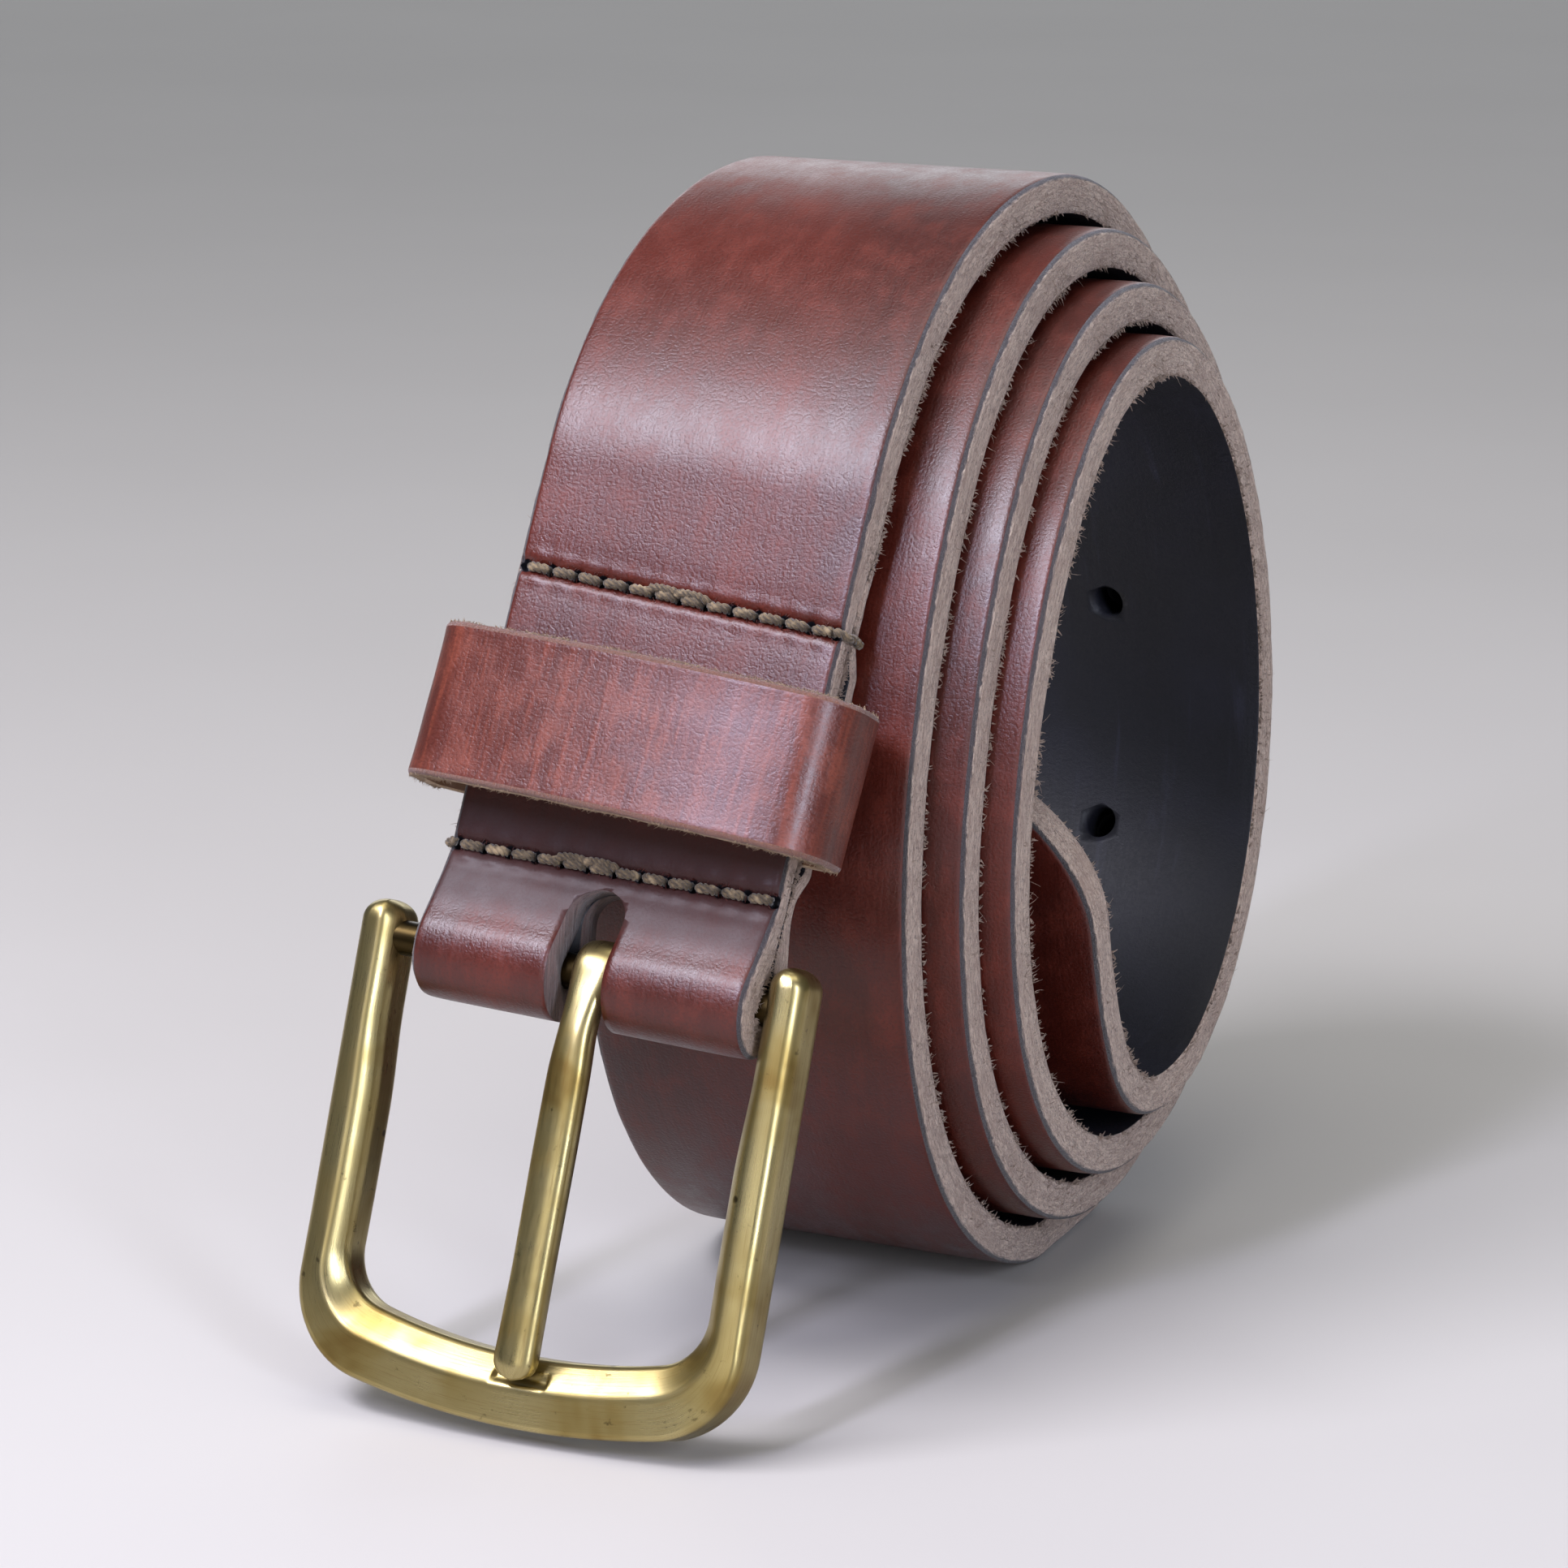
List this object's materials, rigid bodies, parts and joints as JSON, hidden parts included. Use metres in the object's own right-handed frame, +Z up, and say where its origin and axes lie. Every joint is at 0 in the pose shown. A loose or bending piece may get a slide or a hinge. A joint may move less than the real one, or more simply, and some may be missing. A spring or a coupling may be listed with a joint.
{
  "type": "leather belt",
  "caption": "Rolled leather dress belt standing on its edgewise coil, with a sewn fold that holds a brass frame buckle and prong, a sliding keeper loop, punched holes and a rounded tip.",
  "frame": {"origin": "centre of the base of the whole rolled belt, on the surface it stands on", "axes": "+X across the strap, to the right seen from the front; -Y is the front, where the buckle hangs; +Z up"},
  "size_m": [0.0598, 0.1284, 0.1107],
  "materials": {
    "strap_leather": "polished grain, dark flesh side, raw edges",
    "keeper_leather": "polished grain, raw edges",
    "staple_wire": "flat wire",
    "thread": "waxed twisted thread",
    "brass": "aged, brushed"
  },
  "bodies": {
    "belt": {"strap": "strap_leather", "stitch_row_lower": "thread", "stitch_row_upper": "thread"},
    "keeper": {"keeper_loop": "keeper_leather", "keeper_staple": "staple_wire"},
    "buckle": {"buckle_frame": "brass", "buckle_bar": "brass"},
    "tongue": {"prong": "brass"}
  },
  "joints": [
    {"name": "buckle_swing", "type": "hinge", "parent": "belt", "child": "buckle", "pos_m": [-0.00384, -0.04775, 0.0418], "axis": [-0.9982, -0.0115, 0.0587], "range_deg": [-42, 28]},
    {"name": "prong_swing", "type": "hinge", "parent": "buckle", "child": "tongue", "pos_m": [-0.00384, -0.04775, 0.0418], "axis": [-0.9982, -0.0115, 0.0587], "range_deg": [0, 87]},
    {"name": "keeper_slide", "type": "slide", "parent": "belt", "child": "keeper", "axis": [0.0485, 0.4176, 0.9073], "range_m": [-0.0007, 0.0029]}
  ]
}
